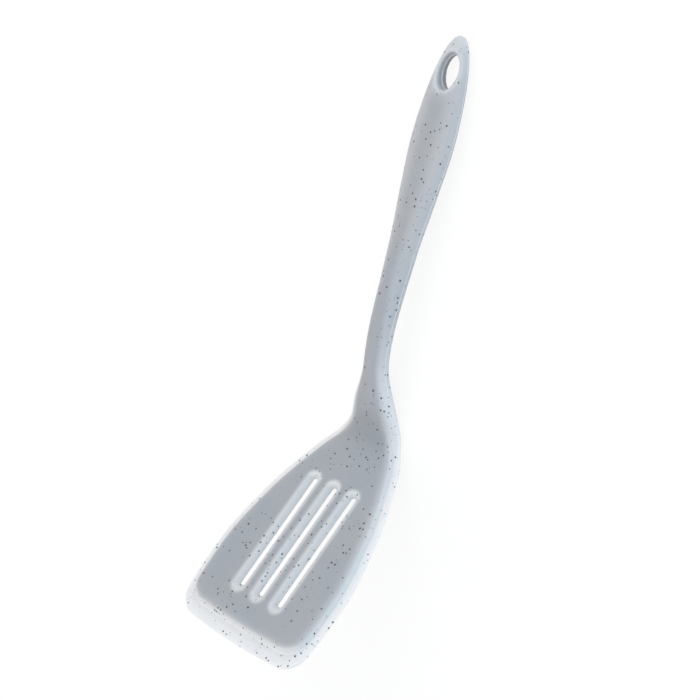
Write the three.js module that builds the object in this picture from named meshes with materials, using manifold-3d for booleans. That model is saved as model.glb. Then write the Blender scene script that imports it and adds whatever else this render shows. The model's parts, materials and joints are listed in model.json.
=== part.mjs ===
// Slotted kitchen turner: a stiff nylon core with silicone moulded over it, lying face up on a worktop.
// Millimetres, +Z up, handle towards +Y. The tool is drawn straight first, with x across it, s along it
// from the middle of the front edge, and z up from the flat back of the blade. Then it is bent along s.
import * as THREE from "three";
import { mergeVertices } from "three/addons/utils/BufferGeometryUtils.js";
import Module from "manifold-3d";

const wasm = await Module();
wasm.setup();
const { clamp, lerp, smoothstep, degToRad } = THREE.MathUtils;

// Driving dimensions along the tool
const TOOL_LENGTH = 330;
const BLADE_FLAT = 113.5;
const HEEL_RUN = 28.5;
const HEEL_ANGLE = 55;
const NECK_RUN = 62;
const NECK_ANGLE = 22.8;
const END_TAPER = 50;

// Driving dimensions across the tool
const FRONT_WIDTH = 81.5;
const BLADE_WIDTH = 88;
const SHOULDER_WIDTH = 55;
const NECK_WIDTH = 11.9;
const GRIP_WIDTH = 25;
const CORNER_RADIUS = 9;
const FRONT_BOW = 2.7;

// Thicknesses
const BLADE_THICKNESS = 5.3;
const EDGE_THICKNESS = 1.4;
const HANDLE_THICKNESS = 12;
const END_THICKNESS = 8;
const HANDLE_RISE = 2.6;
const MOULD_LAND = 0.8;

// Silicone around the core
const RIM_WIDTH = 5.6;
const FRONT_LIP = 10;
const FACE_COVER = 1.2;
const HANDLE_COVER = 3.2;
const CORE_EDGE = 0.8;
const CORE_CORNER = 9;

// Slots, which are narrowest at the parting line and flare towards both faces, and hanging hole
const SLOT_COUNT = 3;
const SLOT_WIDTH = 2.6;
const SLOT_FLARE = 2.4;
const SLOT_WEB = 10.9;
const SLOT_LINING = 3.6;
const SLOT_START = 26.5;
const SLOT_LENGTH = 65.8;
const HOLE_WIDTH = 10.7;
const HOLE_LENGTH = 17;
const HOLE_TO_END = 8.8;
const HOLE_LINING = 4.5;

// Clearances
const CORE_CLEARANCE = 0.3;
const PARTING_GAP = 0.3;
const CUT_MARGIN = 12;

// Shares that shape the sections: how much of the half width is rounded, and how blunt the handle's end is
const HANDLE_ROUNDING = 0.9;
const CORE_ROUNDING = 0.8;
const END_BLUNTNESS = 6;

// Shares of the rim, from the edge inwards: where the thin flange ends and the step up to the face begins,
// and where the parting surface is up at the middle of the core
const FLANGE_SHARE = 0.6;
const PARTING_LEVEL = 0.92;

// Fineness: sections along each stretch, points around a rim and across a face, straight pieces in a
// curve, and how many degrees round a closing end the last section is
const ROUND_STEPS = 6;
const BLADE_STEPS = 9;
const HEEL_STEPS = 12;
const NECK_STEPS = 9;
const GRIP_STEPS = 6;
const RIM_STEPS = 5;
const FACE_STEPS = 8;
const SLOT_SEGMENTS = 8;
const HOLE_SEGMENTS = 24;
const SPINE_STEP = 0.5;
const END_REACH = 85;

// Points closer together than this are one point, and a point this little below a line still rests on it
const MERGE_WITHIN = 1e-4;
const REST_WITHIN = 1e-6;

// Sizes worked out from the driving dimensions
const HEEL_END = BLADE_FLAT + HEEL_RUN;
const NECK_END = HEEL_END + NECK_RUN;
const TAPER_START = TOOL_LENGTH - END_TAPER;
const HOLE_CENTRE = TOOL_LENGTH - HOLE_TO_END - HOLE_LENGTH / 2;
const CORE_START = FRONT_LIP + CORE_EDGE;
const CORE_END = HOLE_CENTRE - HOLE_LENGTH / 2 - HOLE_LINING;
const CORE_TAPER = GRIP_WIDTH / 2;
const SLOT_PITCH = SLOT_WIDTH + SLOT_WEB;
const BOW_REACH = BLADE_FLAT / 4;
const FRONT_FLANGE = FLANGE_SHARE * FRONT_LIP;
const SPINE_MARGIN = 2 * CUT_MARGIN;

// How far the section has turned from blade to handle at s: 0 on the blade, 1 on the handle.
function handleShare(s) {
  return smoothstep(s, BLADE_FLAT - HEEL_RUN / 2, HEEL_END + HEEL_RUN / 4);
}

// Angle of the spine above the plane of the blade.
function spineAngle(s) {
  const rise = degToRad(HEEL_ANGLE) * smoothstep(s, BLADE_FLAT, HEEL_END);
  const fall = degToRad(NECK_ANGLE) * smoothstep(s, HEEL_END, NECK_END);
  return rise - fall;
}

// Points of the spine one step apart, from which any point on it is interpolated.
const spinePoints = [new THREE.Vector2(-SPINE_MARGIN, 0)];
for (let s = -SPINE_MARGIN; s < TOOL_LENGTH + SPINE_MARGIN; s += SPINE_STEP) {
  const angle = spineAngle(s + SPINE_STEP / 2);
  const stride = new THREE.Vector2(Math.cos(angle), Math.sin(angle)).multiplyScalar(SPINE_STEP);
  spinePoints.push(spinePoints.at(-1).clone().add(stride));
}

// Carries a point of the straight drawing onto the bent tool.
function bent(x, s, z) {
  const place = (s + SPINE_MARGIN) / SPINE_STEP;
  const index = Math.min(Math.floor(place), spinePoints.length - 2);
  const spine = spinePoints[index].clone().lerp(spinePoints[index + 1], place - index);
  const angle = spineAngle(s);
  return new THREE.Vector3(x, spine.x - z * Math.sin(angle), spine.y + z * Math.cos(angle));
}

// Pins of the outline: the stretch of the tool that a pin is on, how far along that stretch it is,
// the two widths that it lies between, and how far the width has gone from one to the other.
const pins = [
  [0, BLADE_FLAT, 0, FRONT_WIDTH, BLADE_WIDTH, 0],
  [0, BLADE_FLAT, 0.12, FRONT_WIDTH, BLADE_WIDTH, 0.67],
  [0, BLADE_FLAT, 0.32, FRONT_WIDTH, BLADE_WIDTH, 1],
  [0, BLADE_FLAT, 0.37, BLADE_WIDTH, SHOULDER_WIDTH, 0],
  [0, BLADE_FLAT, 0.67, BLADE_WIDTH, SHOULDER_WIDTH, 0.31],
  [0, BLADE_FLAT, 0.97, BLADE_WIDTH, SHOULDER_WIDTH, 1],
  [BLADE_FLAT, HEEL_END, 0.5, SHOULDER_WIDTH, NECK_WIDTH, 0.4],
  [HEEL_END, NECK_END, 0.07, SHOULDER_WIDTH, NECK_WIDTH, 0.71],
  [HEEL_END, NECK_END, 0.42, SHOULDER_WIDTH, NECK_WIDTH, 1],
  [HEEL_END, NECK_END, 0.9, NECK_WIDTH, GRIP_WIDTH, 0.09],
  [NECK_END, TAPER_START, 0.31, NECK_WIDTH, GRIP_WIDTH, 0.29],
  [NECK_END, TAPER_START, 0.67, NECK_WIDTH, GRIP_WIDTH, 0.7],
  [NECK_END, TAPER_START, 1, NECK_WIDTH, GRIP_WIDTH, 1],
];
const outlineCurve = smoothCurve(
  pins.map(([start, end, along, from, to, gone]) => [lerp(start, end, along), lerp(from, to, gone) / 2]),
);

// Smooth curve through points that never swings past them: level at each high or low point.
function smoothCurve(points) {
  const steep = points.slice(1).map(([at, value], i) => (value - points[i][1]) / (at - points[i][0]));
  const slopes = points.map((_, i) => {
    const before = steep[i - 1] ?? 0;
    const after = steep[i] ?? 0;
    return before * after > 0 ? (2 * before * after) / (before + after) : 0;
  });
  return (at) => {
    const found = points.findIndex(([place]) => place >= at);
    const i = Math.max(1, found < 0 ? points.length - 1 : found);
    const [[start, low], [end, high]] = [points[i - 1], points[i]];
    const t = (at - start) / (end - start);
    const rise = t * t * (3 - 2 * t);
    const leave = t * (1 - t) * (1 - t) * (end - start) * slopes[i - 1];
    const arrive = t * t * (1 - t) * (end - start) * slopes[i];
    return lerp(low, high, rise) + leave - arrive;
  };
}

// What a rounded end takes off the half width at a distance from it: nothing beyond the taper, and more
// along a quarter ellipse towards the end, where it is the whole rounded amount.
function roundedEnd(distance, taper, rounded) {
  const share = clamp(1 - distance / taper, 0, 1);
  return rounded * (1 - Math.sqrt(1 - share * share));
}

// Half width of the silicone at s.
function halfWidth(s) {
  const full = outlineCurve(clamp(s, 0, TAPER_START));
  const corner = roundedEnd(s, CORNER_RADIUS, CORNER_RADIUS);
  return full - corner - roundedEnd(TOOL_LENGTH - s, END_TAPER, full);
}

// Width of the sloping or rounded part at each side of the silicone, where it has the given half width.
function sideWidth(s, half) {
  return lerp(RIM_WIDTH, HANDLE_ROUNDING * Math.min(half, GRIP_WIDTH / 2), handleShare(s));
}

// Heights of the silicone at s: the back, the two lips of the mould line at the edge, and the front.
function skinHeights(s) {
  const share = handleShare(s);
  const taper = smoothstep(s, TAPER_START - END_TAPER / 2, TOOL_LENGTH);
  const round = Math.cbrt(1 - Math.max(0, (s - TAPER_START) / END_TAPER) ** END_BLUNTNESS);
  const half = (lerp(HANDLE_THICKNESS, END_THICKNESS, taper) / 2) * round;
  const step = clamp((s - FRONT_FLANGE) / (FRONT_LIP - FRONT_FLANGE), 0, 1);
  const face = lerp(EDGE_THICKNESS, BLADE_THICKNESS, step);
  return {
    back: lerp(0, HANDLE_RISE - half, share),
    edgeBack: lerp(0, HANDLE_RISE - MOULD_LAND / 2, share),
    edgeFront: lerp(EDGE_THICKNESS, HANDLE_RISE + MOULD_LAND / 2, share),
    front: lerp(face, HANDLE_RISE + half, share),
  };
}

// Half width and heights of the core at s, grown on all sides by the given amount.
function coreSection(s, grow) {
  const share = handleShare(s);
  const skin = skinHeights(Math.max(s, FRONT_LIP));
  const cover = lerp(FACE_COVER, HANDLE_COVER, share);
  const corner = roundedEnd(s - CORE_START + grow, CORE_CORNER + grow, CORE_CORNER);
  const full = halfWidth(Math.max(s, FRONT_LIP)) - lerp(RIM_WIDTH, HANDLE_COVER, share * share);
  const end = roundedEnd(CORE_END + grow - s, CORE_TAPER, full * CORE_ROUNDING);
  const middle = (skin.back + skin.front) / 2;
  return {
    half: full - corner - end + grow,
    back: skin.back + cover - grow,
    edgeBack: middle - CORE_EDGE / 2 - grow,
    edgeFront: middle + CORE_EDGE / 2 + grow,
    front: skin.front - cover + grow,
  };
}

// Shift along the tool that bows the front edge, growing with the distance from its middle.
function bow(x, s) {
  const fade = 1 - smoothstep(s, 0, BOW_REACH);
  return FRONT_BOW * (x / (BLADE_WIDTH / 2)) ** 2 * fade;
}

// How far in and how far up each step of a rim is: a plain slope, or a thin flange and then a slope.
const plainRim = Array.from({ length: RIM_STEPS + 1 }, (_, step) => [step / RIM_STEPS, step / RIM_STEPS]);
const flangedRim = plainRim.map((_, step) => {
  const climb = Math.max(0, step - 1) / (RIM_STEPS - 1);
  return [step === 0 ? 0 : lerp(FLANGE_SHARE, 1, climb), climb];
});

// Ring of points around one section: the front half from right to left, then the back half from left
// to right. The rim has the given profile on the blade and is rounded on the handle.
function ringOf(s, half, heights, rim, profile) {
  const roundShare = handleShare(s);
  const side = (edge, face) => {
    const points = profile.map(([reach, climb], step) => {
      const turn = ((step / RIM_STEPS) * Math.PI) / 2;
      const inward = lerp(reach, 1 - Math.cos(turn), roundShare);
      const rise = lerp(climb, Math.sin(turn), roundShare);
      return [half - rim * inward, lerp(edge, face, rise)];
    });
    const across = spread(half - rim, rim - half, FACE_STEPS).slice(1);
    const mirrored = points.map(([x, z]) => [-x, z]).reverse();
    return [...points, ...across.map((x) => [x, face]), ...mirrored];
  };
  const frontHalf = side(heights.edgeFront, heights.front);
  const backHalf = side(heights.edgeBack, heights.back).reverse();
  return [...frontHalf, ...backHalf].map(([x, z]) => bent(x, s + bow(x, s), z));
}

// Closed body through a row of rings, with each end closed by a strip across it.
function loft(rings) {
  const size = rings[0].length;
  const triangles = [];
  const quad = (a, b, c, d) => triangles.push(a, b, c, a, c, d);
  for (let i = 0; i + 1 < rings.length; i++) {
    for (let j = 0; j < size; j++) {
      const next = (j + 1) % size;
      quad(i * size + j, (i + 1) * size + j, (i + 1) * size + next, i * size + next);
    }
  }
  const last = (rings.length - 1) * size;
  for (let j = 0; j + 1 < size / 2; j++) {
    const across = size - 1 - j;
    quad(j, j + 1, across - 1, across);
    quad(last + j, last + across, last + across - 1, last + j + 1);
  }
  const geometry = new THREE.BufferGeometry().setFromPoints(rings.flat());
  geometry.setIndex(triangles);
  return solidOf(geometry);
}

// Solid for joining and cutting, from any closed geometry.
function solidOf(geometry) {
  geometry.deleteAttribute("normal");
  geometry.deleteAttribute("uv");
  const merged = mergeVertices(geometry, MERGE_WITHIN);
  const mesh = new wasm.Mesh({
    numProp: 3,
    vertProperties: merged.attributes.position.array,
    triVerts: new Uint32Array(merged.index.array),
  });
  return new wasm.Manifold(mesh);
}

// Evenly spaced values from one end to the other, the last one left out.
function spread(from, to, count) {
  return Array.from({ length: count }, (_, i) => lerp(from, to, i / count));
}

// Stations from a rounded start to a rounded end, close together where the outline or the spine turns.
function stations(start, radius, end, taper) {
  const quarter = spread(0, Math.PI / 2, ROUND_STEPS).map((turn) => start + radius * (1 - Math.cos(turn)));
  const reach = degToRad(END_REACH);
  const turns = [...spread(0, reach, ROUND_STEPS), reach];
  const tail = turns.map((turn) => end - taper + taper * Math.sin(turn));
  return [
    ...quarter,
    ...spread(start + radius, BLADE_FLAT - HEEL_RUN / 2, BLADE_STEPS),
    ...spread(BLADE_FLAT - HEEL_RUN / 2, HEEL_END, HEEL_STEPS),
    ...spread(HEEL_END, NECK_END, NECK_STEPS),
    ...spread(NECK_END, end - taper, GRIP_STEPS),
    ...tail,
  ];
}
const skinStations = stations(0, CORNER_RADIUS, TOOL_LENGTH, END_TAPER)
  .concat(FRONT_FLANGE, FRONT_LIP)
  .sort((a, b) => a - b);

// The whole silicone, solid, before the core and the openings are taken out of it.
function siliconeBlank() {
  const rings = skinStations.map((s) => {
    const half = halfWidth(s);
    return ringOf(s, half, skinHeights(s), sideWidth(s, half), flangedRim);
  });
  return loft(rings);
}

// The core without its slots, or the space that it leaves in the silicone when grown.
function coreBlank(grow) {
  const places = stations(CORE_START - grow, CORE_CORNER + grow, CORE_END + grow, CORE_TAPER);
  const rings = places.map((s) => {
    const section = coreSection(s, grow);
    const rim = lerp(CORE_EDGE, CORE_ROUNDING * section.half, handleShare(s));
    return ringOf(s, section.half, section, rim, plainRim);
  });
  return loft(rings);
}

// Upright cutter with the outline of a shape, deep enough to pass right through the tool.
function cutter(shape, curveSegments) {
  const depth = 2 * CUT_MARGIN + HANDLE_THICKNESS;
  const geometry = new THREE.ExtrudeGeometry(shape, { depth, bevelEnabled: false, curveSegments });
  return geometry.translate(0, 0, -depth / 2);
}

// Outlines of the slots, with round ends and side by side across the blade, grown by the given amount.
function slotShapes(grow) {
  const radius = SLOT_WIDTH / 2 + grow;
  const near = SLOT_START + SLOT_WIDTH / 2;
  const far = SLOT_START + SLOT_LENGTH - SLOT_WIDTH / 2;
  return Array.from({ length: SLOT_COUNT }, (_, i) => {
    const x = (i - (SLOT_COUNT - 1) / 2) * SLOT_PITCH;
    const shape = new THREE.Shape();
    shape.absarc(x, far, radius, 0, Math.PI, false);
    shape.absarc(x, near, radius, Math.PI, 2 * Math.PI, false);
    return shape;
  });
}

// Straight slots, grown by the given amount.
function slotCutters(grow) {
  return slotShapes(grow).map((shape) => solidOf(cutter(shape, SLOT_SEGMENTS)));
}

// Flared mouths of the slots, from the middle of the blade's thickness out to its face or,
// turned over, out to its back.
function slotMouths(turn) {
  const rise = BLADE_THICKNESS / 2;
  const flare = { bevelThickness: rise, bevelSize: SLOT_FLARE, bevelSegments: 1 };
  return slotShapes(0).map((shape) => {
    const settings = { depth: CUT_MARGIN, curveSegments: SLOT_SEGMENTS, ...flare };
    const geometry = new THREE.ExtrudeGeometry(shape, settings).translate(0, 0, rise);
    return solidOf(geometry.rotateY(turn).translate(0, 0, rise));
  });
}

// Oval hanging hole, square to the handle where it stands.
function holeCutter() {
  const shape = new THREE.Shape();
  shape.absellipse(0, 0, HOLE_WIDTH / 2, HOLE_LENGTH / 2, 0, 2 * Math.PI, false);
  const geometry = cutter(shape, HOLE_SEGMENTS).rotateX(spineAngle(HOLE_CENTRE));
  const centre = bent(0, HOLE_CENTRE, HANDLE_RISE);
  return solidOf(geometry.translate(centre.x, centre.y, centre.z));
}

// Everything behind the mould's parting surface, moved forward by the given amount.
// The surface follows the middle of the core and drops to the middle of the thin flange at the rim.
function behindParting(shift) {
  const places = [-CUT_MARGIN, ...skinStations, TOOL_LENGTH + CUT_MARGIN];
  const rings = places.map((s) => {
    const half = Math.max(halfWidth(clamp(s, 0, TOOL_LENGTH)), NECK_WIDTH / 2);
    const heights = skinHeights(clamp(s, 0, TOOL_LENGTH));
    const edge = (heights.edgeBack + heights.edgeFront) / 2;
    const middle = lerp(BLADE_THICKNESS / 2, HANDLE_RISE, handleShare(s));
    const inner = lerp(edge, middle, smoothstep(s / FRONT_LIP, FLANGE_SHARE, PARTING_LEVEL));
    const level = half - PARTING_LEVEL * sideWidth(s, half);
    const drop = [
      [half + CUT_MARGIN, edge],
      [half - FLANGE_SHARE * sideWidth(s, half), edge],
      [level, inner],
    ];
    const across = spread(level, -level, FACE_STEPS).slice(1);
    const mirrored = drop.map(([x, z]) => [-x, z]).reverse();
    const line = [...drop, ...across.map((x) => [x, inner]), ...mirrored];
    const surface = line.map(([x, z]) => bent(x, s + bow(x, s), z + shift));
    const floor = line.map(([x]) => bent(x, s + bow(x, s), -CUT_MARGIN)).reverse();
    return [...surface, ...floor];
  });
  return loft(rings);
}

// Mesh of a finished solid.
function meshOf(name, solid, material) {
  const { vertProperties, triVerts } = solid.getMesh();
  const geometry = new THREE.BufferGeometry();
  geometry.setAttribute("position", new THREE.BufferAttribute(vertProperties, 3));
  geometry.setIndex(new THREE.BufferAttribute(triVerts, 1));
  geometry.computeVertexNormals();
  const mesh = new THREE.Mesh(geometry, material);
  mesh.name = name;
  return mesh;
}

// Angle of the worktop under the tool: that of the longest line that the underside can rest on,
// which runs from the heel of the blade to the end of the handle.
function restingAngle() {
  const underside = skinStations.map((s) => bent(0, s, skinHeights(s).back));
  let longest = null;
  for (const from of underside) {
    for (const to of underside.filter((point) => point.y > from.y)) {
      const slope = (to.z - from.z) / (to.y - from.y);
      const clear = underside.every((point) => point.z - from.z >= slope * (point.y - from.y) - REST_WITHIN);
      const length = to.distanceTo(from);
      if (clear && (!longest || length > longest.length)) {
        longest = { length, angle: Math.atan(slope) };
      }
    }
  }
  return longest.angle;
}

// Pieces
const subtractAll = (solid, cutters) => cutters.reduce((left, cut) => left.subtract(cut), solid);
const core = subtractAll(coreBlank(0), slotCutters(SLOT_LINING));
const coreSpace = subtractAll(coreBlank(CORE_CLEARANCE), slotCutters(SLOT_LINING - CORE_CLEARANCE));
const slotSpace = [...slotCutters(0), ...slotMouths(0), ...slotMouths(Math.PI)];
const silicone = subtractAll(siliconeBlank(), [...slotSpace, holeCutter(), coreSpace]);
const siliconeFront = silicone.subtract(behindParting(PARTING_GAP / 2));
const siliconeBack = silicone.intersect(behindParting(-PARTING_GAP / 2));

const siliconeLook = { color: 0xc6c9ce, roughness: 0.55, metalness: 0 };
const nylonLook = { color: 0x6b6f75, roughness: 0.6, metalness: 0 };

const turner = new THREE.Group();
turner.add(meshOf("silicone_front", siliconeFront, new THREE.MeshStandardMaterial(siliconeLook)));
turner.add(meshOf("silicone_back", siliconeBack, new THREE.MeshStandardMaterial(siliconeLook)));
turner.add(meshOf("nylon_core", core, new THREE.MeshStandardMaterial(nylonLook)));

// Laid on the worktop, with the origin under the middle of the tool
turner.rotation.x = -restingAngle();
const bounds = new THREE.Box3().setFromObject(turner, true);
turner.position.set(0, -(bounds.min.y + bounds.max.y) / 2, -bounds.min.z);

export default turner;
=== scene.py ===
import itertools
import json
import math

import bpy
import numpy as np
from mathutils import Matrix, Vector


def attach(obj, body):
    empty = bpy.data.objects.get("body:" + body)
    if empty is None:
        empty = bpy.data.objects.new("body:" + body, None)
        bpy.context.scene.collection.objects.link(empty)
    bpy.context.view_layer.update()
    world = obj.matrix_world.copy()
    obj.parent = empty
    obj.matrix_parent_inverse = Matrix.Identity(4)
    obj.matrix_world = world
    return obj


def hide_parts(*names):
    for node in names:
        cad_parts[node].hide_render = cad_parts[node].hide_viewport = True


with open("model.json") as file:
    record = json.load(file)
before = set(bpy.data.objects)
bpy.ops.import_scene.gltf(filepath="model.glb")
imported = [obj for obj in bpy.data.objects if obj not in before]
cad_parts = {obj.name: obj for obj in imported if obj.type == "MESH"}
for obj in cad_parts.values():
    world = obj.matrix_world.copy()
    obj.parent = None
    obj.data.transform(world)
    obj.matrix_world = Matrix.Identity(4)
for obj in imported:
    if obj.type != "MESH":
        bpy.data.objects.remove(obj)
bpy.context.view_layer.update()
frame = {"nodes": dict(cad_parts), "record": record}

# The looks of the slotted turner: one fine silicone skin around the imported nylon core, on a pale floor.
# The skin is the zero surface of a field in millimetres, negative inside the silicone. It is drawn straight,
# with x across the tool, s along it from the front edge and z up from the flat back of the blade, then bent.

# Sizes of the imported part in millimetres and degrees
TOOL_LENGTH = 330
BLADE_FLAT = 113.5
HEEL_RUN = 28.5
HEEL_ANGLE = 55
NECK_RUN = 62
NECK_ANGLE = 22.8
END_TAPER = 50
FRONT_WIDTH = 81.5
BLADE_WIDTH = 88
SHOULDER_WIDTH = 55
NECK_WIDTH = 11.9
GRIP_WIDTH = 25
CORNER_RADIUS = 9
FRONT_BOW = 2.7
BLADE_THICKNESS = 5.3
EDGE_THICKNESS = 1.4
HANDLE_THICKNESS = 12
END_THICKNESS = 8
HANDLE_RISE = 2.6
RIM_WIDTH = 5.6
FRONT_LIP = 10
CORE_CORNER = 9
SLOT_COUNT = 3
SLOT_WIDTH = 2.6
SLOT_FLARE = 2.4
SLOT_PITCH = 13.5
SLOT_START = 26.5
SLOT_LENGTH = 65.8
HOLE_WIDTH = 10.7
HOLE_LENGTH = 17
HOLE_TO_END = 8.8
HOLE_LINING = 4.5
MOUNT_TO_FRONT = 97

# Shares of the blade's rim, from its edge inwards: where the thin flange ends, and where the parting line
# is up at mid-thickness. The bluntness of the handle's end is a power.
FLANGE_SHARE = 0.6
PARTING_LEVEL = 0.92
END_BLUNTNESS = 6

# Forms that only the skin has, in millimetres: where the flange starts to run out into the handle, the
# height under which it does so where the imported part's does, and roundings. The hanging hole's wall leans
# out by a slope, and the squareness of the handle is a power.
FLANGE_END = 114
FLANGE_FOOT = -1
FACE_ROUND = 2.0
LIP_ROUND = 7
CREASE_ROUND = 0.6
EDGE_ROUND = 0.7
SLOT_ROUND = 1.2
RIDGE_ROUND = 0.25
HOLE_ROUND_FRONT = 2.6
HOLE_ROUND_BACK = 0.8
WALL_DRAFT = math.tan(math.radians(4))
HANDLE_SQUARENESS = 2.4

# Fineness of the curves along the tool and of the skin's mesh, in millimetres and in rounds of work
LOOKUP_STEP = 0.25
LOOKUP_MARGIN = 6
GRID_STEP = np.array([0.7, 0.7, 0.5])
GRID_MARGIN = 2
RELAX_ROUNDS = 3
SETTLE_ROUNDS = 4
SETTLE_REACH = 0.3
SLOPE_PROBE = 0.02

# Limits that keep a divisor above zero: the least one, and how far along the end's taper the handle goes
TINY = 1e-6
LAST_SECTION = 0.9999

# Metres in a millimetre
MM = 0.001

# How dark the silicone looks where the core shows through it, or where it is alone: 0 is the pale colour
# and 1 the grey one. On the hanging hole's wall this darkness is painted shade.
BLADE_SHOWS = 0.89
SLOPE_SHOWS = 0.3
SLOT_SHOWS = 0.4
# Painted light: the slots' far ends are paler, standing in for light falling on their end walls
SLOT_END_PAINTED_LIGHT = 0.2
HANDLE_SHOWS = 0.84
ALONE_SHOWS = 0.64
HOLE_SHOWS = 0.62
TIP_SHOWS = 0.6
# Painted shade on the hanging hole's wall, darker on its back half than on its front half
WALL_FRONT_SHADE = 0.85
WALL_BACK_SHADE = 0.95
FLANGE_SHOWS_PER_MM = 0.028

# Where that fades, in millimetres along the tool or from the form that is named, each from and to.
# The rim's fade is a start and a depth instead, and the neck's and the grip's are shares of the half width.
RIM_FADE = (-1.1, 1.35)
NECK_FADE = (0.5, 1.0)
GRIP_FADE = (0.1, 0.8)
CREASE_FADE = (-2.7, -1.9)
SLOT_FADE = (2.0, 4.8)
SLOT_END_FADE = (-1.5, 1)
HOLE_FADE = (1.4, 4.2)
# Where the painted shade of the hanging hole's wall fades out past its lips, and where it changes from the
# front half to the back
WALL_FADE = (-0.3, 1.25)
WALL_CHANGE = (-0.3, 0.3)
END_FADE = (-6, 4)
# Painted shade: the silicone is darkened in the heel's hollow, rising over the first pair of places along
# the tool and falling off over the second
HEEL_SHADE_IN = (108, 130)
HEEL_SHADE_OUT = (132, 156)
GRIP_SWELLS = (175, 215)
TIP_FADE = (317, 329)

# How far ahead of the slots their pale surround starts, in millimetres
SLOT_AHEAD = 1.6

# Parting line: its width in millimetres, on the outside and in the hanging hole, where it fades in widths
# from its middle, how pale it is, and its height as a share of the bump
LINE_WIDTH = 0.25
HOLE_LINE_WIDTH = 0.8
LINE_FADE = (0.3, 1.0)
LINE_STRENGTH = 0.85
LINE_HEIGHT = 0.6

# Textures: sizes of their features in millimetres, the grain's height as a share of the bump, and roughness
CLOUD_SIZE = 25
SHEEN_SIZE = 6
GRAIN_SIZE = 0.35
GRAIN_HEIGHT = 0.05
SILICONE_ROUGHNESS = (0.37, 0.49)
NYLON_GRAIN_SIZE = 0.8
NYLON_ROUGHNESS = (0.5, 0.65)

# Colours
PALE = (0.805, 0.80, 0.795, 1)
PALE_COOL = (0.78, 0.787, 0.80, 1)
GREY = (0.336, 0.348, 0.370, 1)
GREY_COOL = (0.316, 0.337, 0.369, 1)
FAINT_SPECK = (0.22, 0.27, 0.33, 1)
DARK_SPECK = (0.045, 0.05, 0.055, 1)
NYLON_DARK = (0.12, 0.13, 0.15, 1)
NYLON_LIGHT = (0.17, 0.18, 0.20, 1)
WHITE = (1, 1, 1, 1)

# Specks: colour, strength, shift of the pattern in metres, then spacing, radius and blur in millimetres
SPECKS = (
    (FAINT_SPECK, 0.3, 0.37, 2.6, 0.65, 0.22),
    (DARK_SPECK, 0.92, 0.0, 2.2, 0.55, 0.1),
)

# What the specks share: the size of what makes them irregular and of the patches that thin them out, in
# millimetres, the least and the greatest share of the radius, and of the specks that a patch keeps
SPECK_TEAR_SIZE = 0.9
SPECK_PATCH_SIZE = 16
SPECK_RADII = (0.5, 1.0)
SPECK_KEPT = (0.1, 0.78)

# Camera in metres and degrees, matched to the photograph, with its lens and sensor in millimetres
VIEW_TARGET = (0, -0.03799, 0.02894)
VIEW_AZIMUTH = 115.39
VIEW_ELEVATION = 47.30
VIEW_ROLL = -97.24
VIEW_DISTANCE = 0.7749
VIEW_LENS = 80.62
VIEW_SENSOR = 36
VIEW_SHIFT = (0.0079, 0.0966)

# Studio: the floor's size in metres and how much of it is plain white, and the light from all round.
# Each lamp has a name, azimuth and elevation in degrees, distance and size in metres, power and colour.
FLOOR_SIZE = 6
FLOOR_WHITE = 0.87
WORLD_COLOUR = (0.965, 0.98, 1.0, 1)
WORLD_STRENGTH = 0.71
LAMPS = (
    ("key", 192, 45, 1.2, 1.0, 4.5, (1.0, 0.985, 0.965)),
    ("front", 335, 42, 1.1, 0.6, 2.5, (1.0, 0.97, 0.94)),
    ("fill", 108, 12, 1.2, 0.8, 4.2, (0.45, 0.76, 1.0)),
)

# Sizes worked out from those above
HEEL_END = BLADE_FLAT + HEEL_RUN
NECK_END = HEEL_END + NECK_RUN
HANDLE_START = HEEL_END + HEEL_RUN / 4
TAPER_START = TOOL_LENGTH - END_TAPER
HOLE_CENTRE = TOOL_LENGTH - HOLE_TO_END - HOLE_LENGTH / 2
CORE_END = HOLE_CENTRE - HOLE_LENGTH / 2 - HOLE_LINING
BOW_REACH = BLADE_FLAT / 4


def mix(low, high, share):
    """Value between two others: the low one at share 0 and the high one at share 1."""
    return low + (high - low) * share


def smoothstep(value, low, high):
    """Smooth rise from 0 to 1 as the value goes from low to high."""
    t = np.clip((value - low) / (high - low), 0, 1)
    return t * t * (3 - 2 * t)


def thickening(distance, start, depth):
    """Rise from 0 at the start towards 1, the faster the smaller the depth."""
    return 1 - np.exp(-np.maximum(distance - start, 0) / depth)


def soft_max(a, b, reach):
    """The greater of two fields, with the crease between them rounded over the given reach."""
    near = np.maximum(reach - np.abs(a - b), 0) / reach
    return np.maximum(a, b) + near * near * reach / 4


# Pins of the outline: the stretch of the tool that a pin is on, how far along that stretch it is,
# the two widths that it lies between, and how far the width has gone from one to the other
PINS = (
    (0, BLADE_FLAT, 0, FRONT_WIDTH, BLADE_WIDTH, 0),
    (0, BLADE_FLAT, 0.12, FRONT_WIDTH, BLADE_WIDTH, 0.67),
    (0, BLADE_FLAT, 0.32, FRONT_WIDTH, BLADE_WIDTH, 1),
    (0, BLADE_FLAT, 0.37, BLADE_WIDTH, SHOULDER_WIDTH, 0),
    (0, BLADE_FLAT, 0.67, BLADE_WIDTH, SHOULDER_WIDTH, 0.31),
    (0, BLADE_FLAT, 0.97, BLADE_WIDTH, SHOULDER_WIDTH, 1),
    (BLADE_FLAT, HEEL_END, 0.5, SHOULDER_WIDTH, NECK_WIDTH, 0.4),
    (HEEL_END, NECK_END, 0.07, SHOULDER_WIDTH, NECK_WIDTH, 0.71),
    (HEEL_END, NECK_END, 0.42, SHOULDER_WIDTH, NECK_WIDTH, 1),
    (HEEL_END, NECK_END, 0.9, NECK_WIDTH, GRIP_WIDTH, 0.09),
    (NECK_END, TAPER_START, 0.31, NECK_WIDTH, GRIP_WIDTH, 0.29),
    (NECK_END, TAPER_START, 0.67, NECK_WIDTH, GRIP_WIDTH, 0.7),
    (NECK_END, TAPER_START, 1, NECK_WIDTH, GRIP_WIDTH, 1),
)
OUTLINE = np.array([(mix(start, end, along), mix(a, b, gone) / 2) for start, end, along, a, b, gone in PINS])


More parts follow.
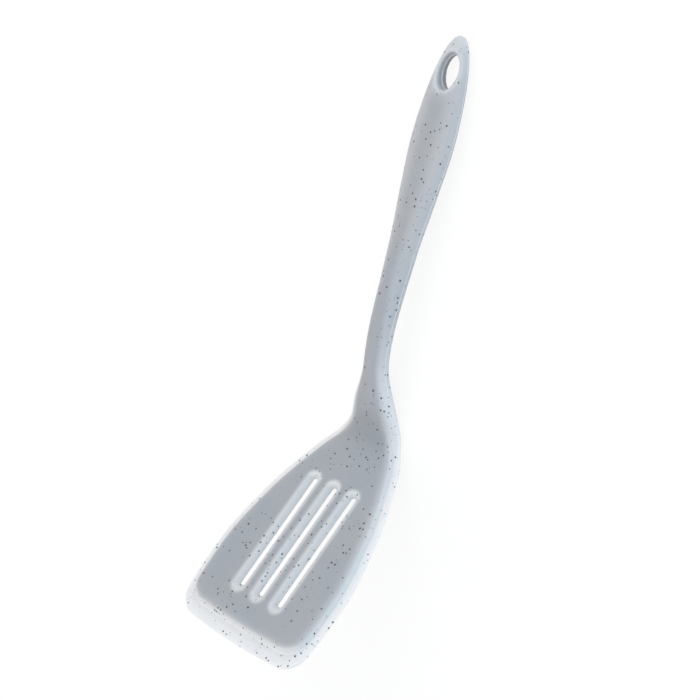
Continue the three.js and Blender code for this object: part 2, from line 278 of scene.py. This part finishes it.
def smooth_curve(places, points):
    """Heights of a smooth curve through (place, height) points, level at each high or low point."""
    at, value = points.T
    steep = np.diff(value) / np.diff(at)
    before, after = steep[:-1], steep[1:]
    same_way = before * after > 0
    slopes = np.zeros(len(at))
    slopes[1:-1][same_way] = 2 * (before * after)[same_way] / (before + after)[same_way]
    places = np.clip(places, at[0], at[-1])
    i = np.clip(np.searchsorted(at, places), 1, len(at) - 1)
    run = at[i] - at[i - 1]
    t = (places - at[i - 1]) / run
    leave = t * (1 - t) ** 2 * run * slopes[i - 1]
    arrive = t**2 * (1 - t) * run * slopes[i]
    return mix(value[i - 1], value[i], t * t * (3 - 2 * t)) + leave - arrive


def run_along(rate):
    """Running total of a rate along the tool, zero at the front edge."""
    steps = (rate[1:] + rate[:-1]) / 2 * np.diff(ALONG)
    total = np.concatenate([[0], np.cumsum(steps)])
    return total - np.interp(0, ALONG, total)


# The outline and the bend, looked up from close-set places along the tool
ALONG = np.arange(-LOOKUP_MARGIN, TOOL_LENGTH + LOOKUP_MARGIN, LOOKUP_STEP)
FULL_HALF = smooth_curve(ALONG, OUTLINE)
SIDE_LEAN = 1 / np.hypot(1, np.gradient(FULL_HALF, ALONG))
RISE = math.radians(HEEL_ANGLE) * smoothstep(ALONG, BLADE_FLAT, HEEL_END)
BEND = RISE - math.radians(NECK_ANGLE) * smoothstep(ALONG, HEEL_END, NECK_END)
SPINE_Y = run_along(np.cos(BEND))
SPINE_Z = run_along(np.sin(BEND))


def bent(x, s, z):
    """Points of the straight drawing carried onto the bent tool, with the blade still level."""
    angle = np.interp(s, ALONG, BEND)
    y = np.interp(s, ALONG, SPINE_Y) - z * np.sin(angle)
    return np.stack([x, y, np.interp(s, ALONG, SPINE_Z) + z * np.cos(angle)], axis=-1)


def handle_share(s):
    """0 on the blade and 1 on the handle."""
    return smoothstep(s, BLADE_FLAT - HEEL_RUN / 2, HANDLE_START)


def flange_end(s):
    """0 where the blade has its flange and 1 where the handle's round section has taken its place."""
    return smoothstep(s, FLANGE_END, HANDLE_START)


def inside_distances(x, s):
    """How far a place of the blade lies inside its sides and inside its bowed front edge."""
    front = s - FRONT_BOW * (x / (BLADE_WIDTH / 2)) ** 2 * (1 - smoothstep(s, 0, BOW_REACH))
    sides = (np.interp(front, ALONG, FULL_HALF) - np.abs(x)) * np.interp(front, ALONG, SIDE_LEAN)
    return sides, front


def round_corner(a, b, radius):
    """Distance inside two edges that meet in a round corner."""
    over_a, over_b = radius - a, radius - b
    past = np.hypot(np.maximum(over_a, 0), np.maximum(over_b, 0))
    return radius - past - np.minimum(np.maximum(over_a, over_b), 0)


def oval(x, y, half_x, half_y, power=2):
    """Distance outside an oval, squarer with a higher power."""
    along_x, along_y = np.abs(x) / half_x, np.abs(y) / half_y
    reach = np.maximum((along_x**power + along_y**power) ** (1 / power), TINY)
    steep_x = (along_x / reach) ** (power - 1) / half_x
    steep_y = (along_y / reach) ** (power - 1) / half_y
    return (reach - 1) / np.hypot(steep_x, steep_y)


def handle_halves(s):
    """Half width and half thickness of the handle, closing round its end."""
    end = np.clip((s - TAPER_START) / END_TAPER, 0, LAST_SECTION)
    taper = smoothstep(s, TAPER_START - END_TAPER / 2, TOOL_LENGTH)
    half_thick = mix(HANDLE_THICKNESS, END_THICKNESS, taper) / 2 * np.cbrt(1 - end**END_BLUNTNESS)
    return np.interp(s, ALONG, FULL_HALF) * np.sqrt(1 - end**2), half_thick


def step_up(z, inside, rim):
    """Distance above the slope that climbs from the thin flange to the face."""
    rise = BLADE_THICKNESS - EDGE_THICKNESS
    run = (1 - FLANGE_SHARE) * rim
    return (z - EDGE_THICKNESS - rise * (inside - FLANGE_SHARE * rim) / run) * run / np.hypot(run, rise)


def slot_distance(x, s, ahead=0):
    """Distance outside the nearest slot, where it is narrowest, with its front end moved ahead."""
    row = np.clip(np.round(x / SLOT_PITCH + (SLOT_COUNT - 1) / 2), 0, SLOT_COUNT - 1)
    across = x - (row - (SLOT_COUNT - 1) / 2) * SLOT_PITCH
    near = SLOT_START + SLOT_WIDTH / 2 - ahead
    far = SLOT_START + SLOT_LENGTH - SLOT_WIDTH / 2
    return np.hypot(across, s - np.clip(s, near, far)) - SLOT_WIDTH / 2


def slot_wall(x, s, z):
    """Distance outside the walls of the nearest slot, which flare from a ridge at mid-thickness."""
    middle = BLADE_THICKNESS / 2
    flare = SLOT_FLARE / middle
    away = np.hypot(z - middle, RIDGE_ROUND) - RIDGE_ROUND
    return (slot_distance(x, s) - flare * away) / np.hypot(flare, 1)


def hole_distance(x, s):
    """Distance outside the hanging hole, where it is narrowest."""
    return oval(x, s - HOLE_CENTRE, HOLE_WIDTH / 2, HOLE_LENGTH / 2)


def hole_wall(x, s, z):
    """Distance outside the wall of the hanging hole, which widens a little towards both faces."""
    return hole_distance(x, s) - WALL_DRAFT * np.abs(z - HANDLE_RISE)


def silicone(x, s, z):
    """Distance outside the whole moulding, core included."""
    sides, front = inside_distances(x, s)
    slope = soft_max(step_up(z, sides, RIM_WIDTH), step_up(z, front, FRONT_LIP), LIP_ROUND)
    face = soft_max(z - BLADE_THICKNESS, slope, FACE_ROUND)
    top = -soft_max(-face, EDGE_THICKNESS - z, CREASE_ROUND)
    edge = -round_corner(sides, front, CORNER_RADIUS)
    blade = soft_max(soft_max(top, -z, EDGE_ROUND), edge, EDGE_ROUND)
    handle = oval(x, z - HANDLE_RISE, *handle_halves(s), HANDLE_SQUARENESS)
    on_front = smoothstep(z, FLANGE_FOOT, EDGE_THICKNESS)
    body = mix(blade, handle, mix(handle_share(s), flange_end(s), on_front))
    body = soft_max(body, -slot_wall(x, s, z), SLOT_ROUND)
    hole_round = np.where(z > HANDLE_RISE, HOLE_ROUND_FRONT, HOLE_ROUND_BACK)
    return soft_max(body, -hole_wall(x, s, z), hole_round)


def surface_net(field, axes):
    """Points and outward quads of a field's zero surface, with a point in each grid cell that it crosses."""
    value = field(*np.meshgrid(*axes, indexing="ij", sparse=True))
    corners = list(itertools.product((0, 1), repeat=3))
    cut = tuple(n - 1 for n in value.shape)

    def corner(offset):
        return tuple(slice(o, o + n) for o, n in zip(offset, cut))

    inside = value < 0
    count = sum(inside[corner(offset)].astype(int) for offset in corners)
    crossed = (count > 0) & (count < len(corners))
    cells = np.argwhere(crossed)
    number = np.full(cut, -1)
    number[crossed] = np.arange(len(cells))
    total, hits = np.zeros((len(cells), 3)), np.zeros((len(cells), 1))
    around = ((1, 1), (0, 1), (0, 0), (1, 0))
    quads = []
    for axis in range(3):
        step = np.eye(3, dtype=int)[axis]
        sides = [np.eye(3, dtype=int)[(axis + k) % 3] for k in (1, 2)]
        for u, v in itertools.product((0, 1), repeat=2):
            start = cells + u * sides[0] + v * sides[1]
            a, b = value[tuple(start.T)], value[tuple((start + step).T)]
            hit = (a < 0) != (b < 0)
            share = np.where(hit, a / np.where(hit, a - b, 1), 0)[:, None]
            total += np.where(hit[:, None], start + share * step, 0)
            hits += hit[:, None]
        low = [slice(None)] * 3
        high = [slice(None)] * 3
        low[axis], high[axis] = slice(None, -1), slice(1, None)
        flips = np.argwhere(inside[tuple(low)] != inside[tuple(high)])
        ring = [number[tuple((flips - u * sides[0] - v * sides[1]).T)] for u, v in around]
        leaving = inside[tuple(flips.T)][:, None]
        quads.append(np.where(leaving, np.stack(ring, 1), np.stack(ring[::-1], 1)))
    spacing = np.array([axis[1] - axis[0] for axis in axes])
    return np.array([axis[0] for axis in axes]) + total / hits * spacing, np.concatenate(quads)


def settle(field, points):
    """Moves points onto the field's zero surface along its slope."""
    probes = np.eye(3) * SLOPE_PROBE
    for _ in range(SETTLE_ROUNDS):
        rises = [field(*(points + probe).T) - field(*(points - probe).T) for probe in probes]
        slope = np.stack(rises, 1) / (2 * SLOPE_PROBE)
        move = field(*points.T)[:, None] * slope / np.maximum((slope**2).sum(1, keepdims=True), TINY)
        length = np.linalg.norm(move, axis=1, keepdims=True)
        points = points - move * np.minimum(1, SETTLE_REACH / np.maximum(length, TINY))
    return points


def relax(points, quads):
    """Moves each point to the middle of its neighbours, so that the quads are even."""
    ends = np.concatenate([quads[:, [k, (k + 1) % 4]] for k in range(4)])
    total = np.stack([np.bincount(ends[:, 0], points[ends[:, 1], k], len(points)) for k in range(3)], 1)
    return total / np.bincount(ends[:, 0], minlength=len(points))[:, None]


def over_blade(x, s):
    """Share of the core that shows through the blade: most on the face, less on the slope and the flange."""
    sides, front = inside_distances(x, s)
    inside = round_corner(sides - RIM_WIDTH, front - FRONT_LIP, CORE_CORNER)
    flange = FLANGE_SHOWS_PER_MM * np.maximum(round_corner(sides, front, CORNER_RADIUS), 0)
    slope = SLOPE_SHOWS * smoothstep(inside, *CREASE_FADE)
    return mix(np.maximum(np.minimum(flange, SLOPE_SHOWS), slope), 1, thickening(inside, *RIM_FADE))


def over_handle(x, s):
    """Share of the core that shows through the neck and the grip: most along the middle."""
    swell = smoothstep(s, *GRIP_SWELLS)
    fade = [mix(neck, grip, swell) for neck, grip in zip(NECK_FADE, GRIP_FADE)]
    return 1 - smoothstep(np.abs(x) / handle_halves(s)[0], *fade)


def beside_slots(x, s):
    """Share of the core that shows beside the slots, where it stands back: least at their far ends, where
    the paleness is painted light on the end walls.
    """
    # Painted light at the slots' far ends, where the lip's level turns paler
    lip = mix(SLOT_SHOWS, SLOT_END_PAINTED_LIGHT, smoothstep(s - SLOT_START - SLOT_LENGTH, *SLOT_END_FADE))
    return mix(lip, 1, smoothstep(slot_distance(x, s, SLOT_AHEAD), *SLOT_FADE))


def core_and_painted_shading(x, s, z):
    """Darkness of the silicone, from 0 to 1: over the core, with painted shade in the heel's hollow, then
    without it, then in the hanging hole, where the wall's darkness is painted shade.
    """
    over_core = mix(over_blade(x, s), over_handle(x, s), flange_end(s)) * beside_slots(x, s)
    over_core = over_core * smoothstep(CORE_END - s, *END_FADE)
    # Painted shade in the heel's hollow, where the blade bends up into the neck
    heel_shade = smoothstep(s, *HEEL_SHADE_IN) * (1 - smoothstep(s, *HEEL_SHADE_OUT))
    past_blade = smoothstep(s, BLADE_FLAT, NECK_END)
    with_core = mix(mix(BLADE_SHOWS, 1, heel_shade), HANDLE_SHOWS, past_blade)
    alone = ALONE_SHOWS * past_blade * mix(HOLE_SHOWS, 1, smoothstep(hole_distance(x, s), *HOLE_FADE))
    alone = alone * mix(1, TIP_SHOWS, smoothstep(s, *TIP_FADE))
    # Painted shade on the hanging hole's wall, darker below the parting line
    wall = mix(WALL_BACK_SHADE, WALL_FRONT_SHADE, smoothstep(z - HANDLE_RISE, *WALL_CHANGE))
    return mix(wall, mix(alone, with_core, over_core), smoothstep(hole_wall(x, s, z), *WALL_FADE))


def above_parting(x, s, z):
    """Height above the parting line in widths of it. It drops to the middle of the blade's thin edge."""
    inside = round_corner(*inside_distances(x, s), CORNER_RADIUS) / RIM_WIDTH
    blade = mix(EDGE_THICKNESS / 2, BLADE_THICKNESS / 2, smoothstep(inside, FLANGE_SHARE, PARTING_LEVEL))
    height = z - mix(blade, HANDLE_RISE, handle_share(s))
    return height / mix(HOLE_LINE_WIDTH, LINE_WIDTH, smoothstep(hole_distance(x, s), *HOLE_FADE))


def placed(points):
    """Points of the straight drawing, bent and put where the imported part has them, in metres.

    The part's record gives a point on the blade's flat back and the way that it faces.
    """
    mount = next(m for m in frame["record"]["mounts"] if m["name"] == "blade_back")
    turn = Matrix.Rotation(-math.atan2(-mount["axis"][1], -mount["axis"][2]), 3, "X")
    seat = Vector(mount["pos_m"]) - turn @ Vector((0, MOUNT_TO_FRONT * MM, 0))
    return bent(*points.T) * MM @ np.array(turn).T + np.array(seat)


def silicone_skin():
    """The silicone as one even quad mesh, with what its material needs to know at each point."""
    low = np.array([-BLADE_WIDTH / 2, 0, HANDLE_RISE - HANDLE_THICKNESS / 2]) - GRID_MARGIN
    high = np.array([BLADE_WIDTH / 2, TOOL_LENGTH, HANDLE_RISE + HANDLE_THICKNESS / 2]) + GRID_MARGIN
    axes = [np.arange(a, b, step) for a, b, step in zip(low, high, GRID_STEP)]
    points, quads = surface_net(silicone, axes)
    for _ in range(RELAX_ROUNDS):
        points = settle(silicone, relax(points, quads))
    mesh = bpy.data.meshes.new("silicone_skin")
    mesh.from_pydata(placed(points).tolist(), [], quads.tolist())
    for name, field in (("core_and_painted_shading", core_and_painted_shading), ("above_parting", above_parting)):
        values = field(*points.T).astype(np.float32)
        mesh.attributes.new(name, "FLOAT", "POINT").data.foreach_set("value", values)
    mesh.shade_smooth()
    skin = bpy.data.objects.new("silicone_skin", mesh)
    bpy.context.scene.collection.objects.link(skin)
    return skin


class Nodes:
    """A material's node tree, with short calls for the nodes used here."""

    def __init__(self, name):
        self.material = bpy.data.materials.new(name)
        self.material.use_nodes = True
        self.tree = self.material.node_tree
        self.shader = self.tree.nodes["Principled BSDF"]
        self.output = self.tree.nodes["Material Output"]

    def feed(self, socket, value):
        """Links an input to another node's socket, or sets it to a value."""
        if isinstance(value, bpy.types.NodeSocket):
            self.tree.links.new(value, socket)
        else:
            socket.default_value = value

    def add(self, kind, inputs, **settings):
        """A node with its settings and inputs. An input is named by its label or its number."""
        made = self.tree.nodes.new("ShaderNode" + kind)
        for name, value in settings.items():
            setattr(made, name, value)
        for name, value in inputs.items():
            self.feed(made.inputs[name], value)
        return made

    def place(self):
        return self.add("TexCoord", {}).outputs["Object"]

    def attribute(self, name):
        return self.add("Attribute", {}, attribute_name=name).outputs["Fac"]

    def math(self, operation, a, b=0.0):
        return self.add("Math", {0: a, 1: b}, operation=operation).outputs[0]

    def vector(self, operation, a, b):
        return self.add("VectorMath", {0: a, 1: b}, operation=operation).outputs[0]

    def colour(self, share, a, b):
        """The first colour at share 0 and the second at share 1."""
        return self.add("Mix", {"Factor": share, 6: a, 7: b}, data_type="RGBA").outputs[2]

    def ramp(self, value, low, high, to_low=0.0, to_high=1.0):
        """Smooth rise from to_low to to_high as the value goes from low to high."""
        inputs = {"Value": value, "From Min": low, "From Max": high, "To Min": to_low, "To Max": to_high}
        return self.add("MapRange", inputs, interpolation_type="SMOOTHSTEP").outputs[0]

    def noise(self, place, size, detail=2.0):
        """Noise with features of the given size in metres."""
        return self.add("TexNoise", {"Vector": place, "Scale": 1 / size, "Detail": detail})

    def bump(self, height, strength, distance):
        """Leans the surface as a height of at most the given distance in metres would."""
        made = self.add("Bump", {"Strength": strength, "Distance": distance, "Height": height})
        self.feed(self.shader.inputs["Normal"], made.outputs[0])


def specks(nodes, place, shift, spacing, radius, blur):
    """Mask of irregular specks of random size, thinned out in patches. All sizes are in metres."""
    moved = nodes.vector("ADD", place, (shift, shift, shift))
    noise = nodes.noise(moved, SPECK_TEAR_SIZE * MM).outputs["Color"]
    either_way = nodes.vector("SUBTRACT", noise, (0.5, 0.5, 0.5))
    torn = nodes.vector("ADD", moved, nodes.vector("MULTIPLY", either_way, (radius, radius, radius)))
    cells = nodes.add("TexVoronoi", {"Vector": torn, "Scale": 1 / spacing})
    chance = nodes.add("SeparateColor", {"Color": cells.outputs["Color"]})
    share = nodes.ramp(chance.outputs[0], 0.0, 1.0, *SPECK_RADII)
    past = nodes.math("SUBTRACT", cells.outputs["Distance"], nodes.math("MULTIPLY", share, radius / spacing))
    dot = nodes.ramp(past, -blur / spacing, blur / spacing, 1.0, 0.0)
    patch = nodes.noise(moved, SPECK_PATCH_SIZE * MM).outputs["Fac"]
    kept = nodes.math("LESS_THAN", chance.outputs[1], nodes.ramp(patch, 0.35, 0.65, *SPECK_KEPT))
    return nodes.math("MULTIPLY", dot, kept)


def silicone_material():
    """Satin silicone, pale or grey by how the core shows, with painted shade in the heel and the hanging
    hole and painted light at the slots' far ends, with its parting line and specks.
    """
    nodes = Nodes("silicone")
    place = nodes.place()
    cloud = nodes.ramp(nodes.noise(place, CLOUD_SIZE * MM).outputs["Fac"], 0.3, 0.7)
    pale = nodes.colour(cloud, PALE, PALE_COOL)
    grey = nodes.colour(cloud, GREY, GREY_COOL)
    # The attribute is the core's darkness through the silicone, together with painted shade in the heel's
    # hollow and on the hanging hole's wall and painted light at the slots' far ends
    colour = nodes.colour(nodes.attribute("core_and_painted_shading"), pale, grey)
    from_line = nodes.math("ABSOLUTE", nodes.attribute("above_parting"))
    line = nodes.ramp(from_line, *LINE_FADE, 1.0, 0.0)
    colour = nodes.colour(nodes.math("MULTIPLY", line, LINE_STRENGTH), colour, PALE)
    for speck, strength, shift, spacing, radius, blur in SPECKS:
        mask = specks(nodes, place, shift, spacing * MM, radius * MM, blur * MM)
        colour = nodes.colour(nodes.math("MULTIPLY", mask, strength), colour, speck)
    nodes.feed(nodes.shader.inputs["Base Color"], colour)
    sheen = nodes.noise(place, SHEEN_SIZE * MM, detail=4.0).outputs["Fac"]
    nodes.feed(nodes.shader.inputs["Roughness"], nodes.ramp(sheen, 0.2, 0.8, *SILICONE_ROUGHNESS))
    grain = nodes.noise(place, GRAIN_SIZE * MM, detail=3.0).outputs["Fac"]
    ridge = nodes.math("MULTIPLY", line, LINE_HEIGHT)
    height = nodes.math("ADD", ridge, nodes.math("MULTIPLY", grain, GRAIN_HEIGHT))
    nodes.bump(height, strength=0.35, distance=0.2 * MM)
    nodes.shader.inputs["Subsurface Weight"].default_value = 0.5
    nodes.shader.inputs["Subsurface Radius"].default_value = (1.0, 1.0, 1.0)
    nodes.shader.inputs["Subsurface Scale"].default_value = 2.0 * MM
    nodes.shader.inputs["IOR"].default_value = 1.41
    return nodes.material


def nylon_material():
    """Matt dark nylon with a fine grain."""
    nodes = Nodes("nylon")
    grain = nodes.noise(nodes.place(), NYLON_GRAIN_SIZE * MM, detail=4.0).outputs["Fac"]
    nodes.feed(nodes.shader.inputs["Base Color"], nodes.colour(grain, NYLON_DARK, NYLON_LIGHT))
    nodes.feed(nodes.shader.inputs["Roughness"], nodes.ramp(grain, 0.3, 0.7, *NYLON_ROUGHNESS))
    nodes.bump(grain, strength=0.2, distance=0.1 * MM)
    return nodes.material


def floor_material():
    """White card that keeps the shadow: what the camera sees of it is part lit card, part plain white."""
    nodes = Nodes("floor")
    nodes.shader.inputs["Base Color"].default_value = WHITE
    nodes.shader.inputs["Roughness"].default_value = 0.9
    nodes.shader.inputs["Specular IOR Level"].default_value = 0.0
    white = nodes.add("Emission", {"Color": WHITE, "Strength": 1.0})
    path = nodes.add("LightPath", {}).outputs
    seen = nodes.math("MAXIMUM", path["Is Camera Ray"], path["Is Glossy Ray"])
    seen = nodes.math("MAXIMUM", seen, path["Is Transmission Ray"])
    share = nodes.math("MULTIPLY", seen, FLOOR_WHITE)
    card = nodes.add("MixShader", {0: share, 1: nodes.shader.outputs[0], 2: white.outputs[0]})
    nodes.feed(nodes.output.inputs["Surface"], card.outputs[0])
    return nodes.material


def direction(azimuth, elevation):
    """Unit vector towards a place round the tool: azimuth 0 is towards -Y, 90 towards +X."""
    a, e = math.radians(azimuth), math.radians(elevation)
    return Vector((math.sin(a) * math.cos(e), -math.cos(a) * math.cos(e), math.sin(e)))


def lamp(name, azimuth, elevation, distance, size, power, colour):
    """Soft square lamp that looks at the middle of the tool."""
    data = bpy.data.lights.new(name, "AREA")
    data.size = size
    data.energy = power
    data.color = colour
    made = bpy.data.objects.new(name, data)
    away = direction(azimuth, elevation)
    made.location = Vector(VIEW_TARGET) + away * distance
    made.rotation_euler = (-away).to_track_quat("-Z", "Y").to_euler()
    bpy.context.scene.collection.objects.link(made)


def photo_camera():
    """Camera that looks at the tool as the photograph does."""
    data = bpy.data.cameras.new("camera")
    data.lens = VIEW_LENS
    data.sensor_width = VIEW_SENSOR
    data.shift_x, data.shift_y = VIEW_SHIFT
    made = bpy.data.objects.new("camera", data)
    away = direction(VIEW_AZIMUTH, VIEW_ELEVATION)
    upright = (-away).to_track_quat("-Z", "Y").to_matrix()
    rolled = upright @ Matrix.Rotation(math.radians(VIEW_ROLL), 3, "Z")
    made.matrix_world = Matrix.Translation(Vector(VIEW_TARGET) + away * VIEW_DISTANCE) @ rolled.to_4x4()
    bpy.context.scene.collection.objects.link(made)
    bpy.context.scene.camera = made


# The silicone, in place of its two imported halves
skin = silicone_skin()
skin.data.materials.append(silicone_material())
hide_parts("silicone_front", "silicone_back")
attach(skin, "root")

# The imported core, inside it
core = frame["nodes"]["nylon_core"]
core.data.materials.clear()
core.data.materials.append(nylon_material())

# Floor
bpy.ops.mesh.primitive_plane_add(size=FLOOR_SIZE)
floor = bpy.context.object
floor.name = "floor"
floor.data.materials.append(floor_material())

# Light and view
world = bpy.data.worlds.new("studio")
bpy.context.scene.world = world
world.use_nodes = True
background = world.node_tree.nodes["Background"]
background.inputs["Color"].default_value = WORLD_COLOUR
background.inputs["Strength"].default_value = WORLD_STRENGTH
for lamp_values in LAMPS:
    lamp(*lamp_values)
photo_camera()
bpy.context.scene.view_settings.view_transform = "Standard"
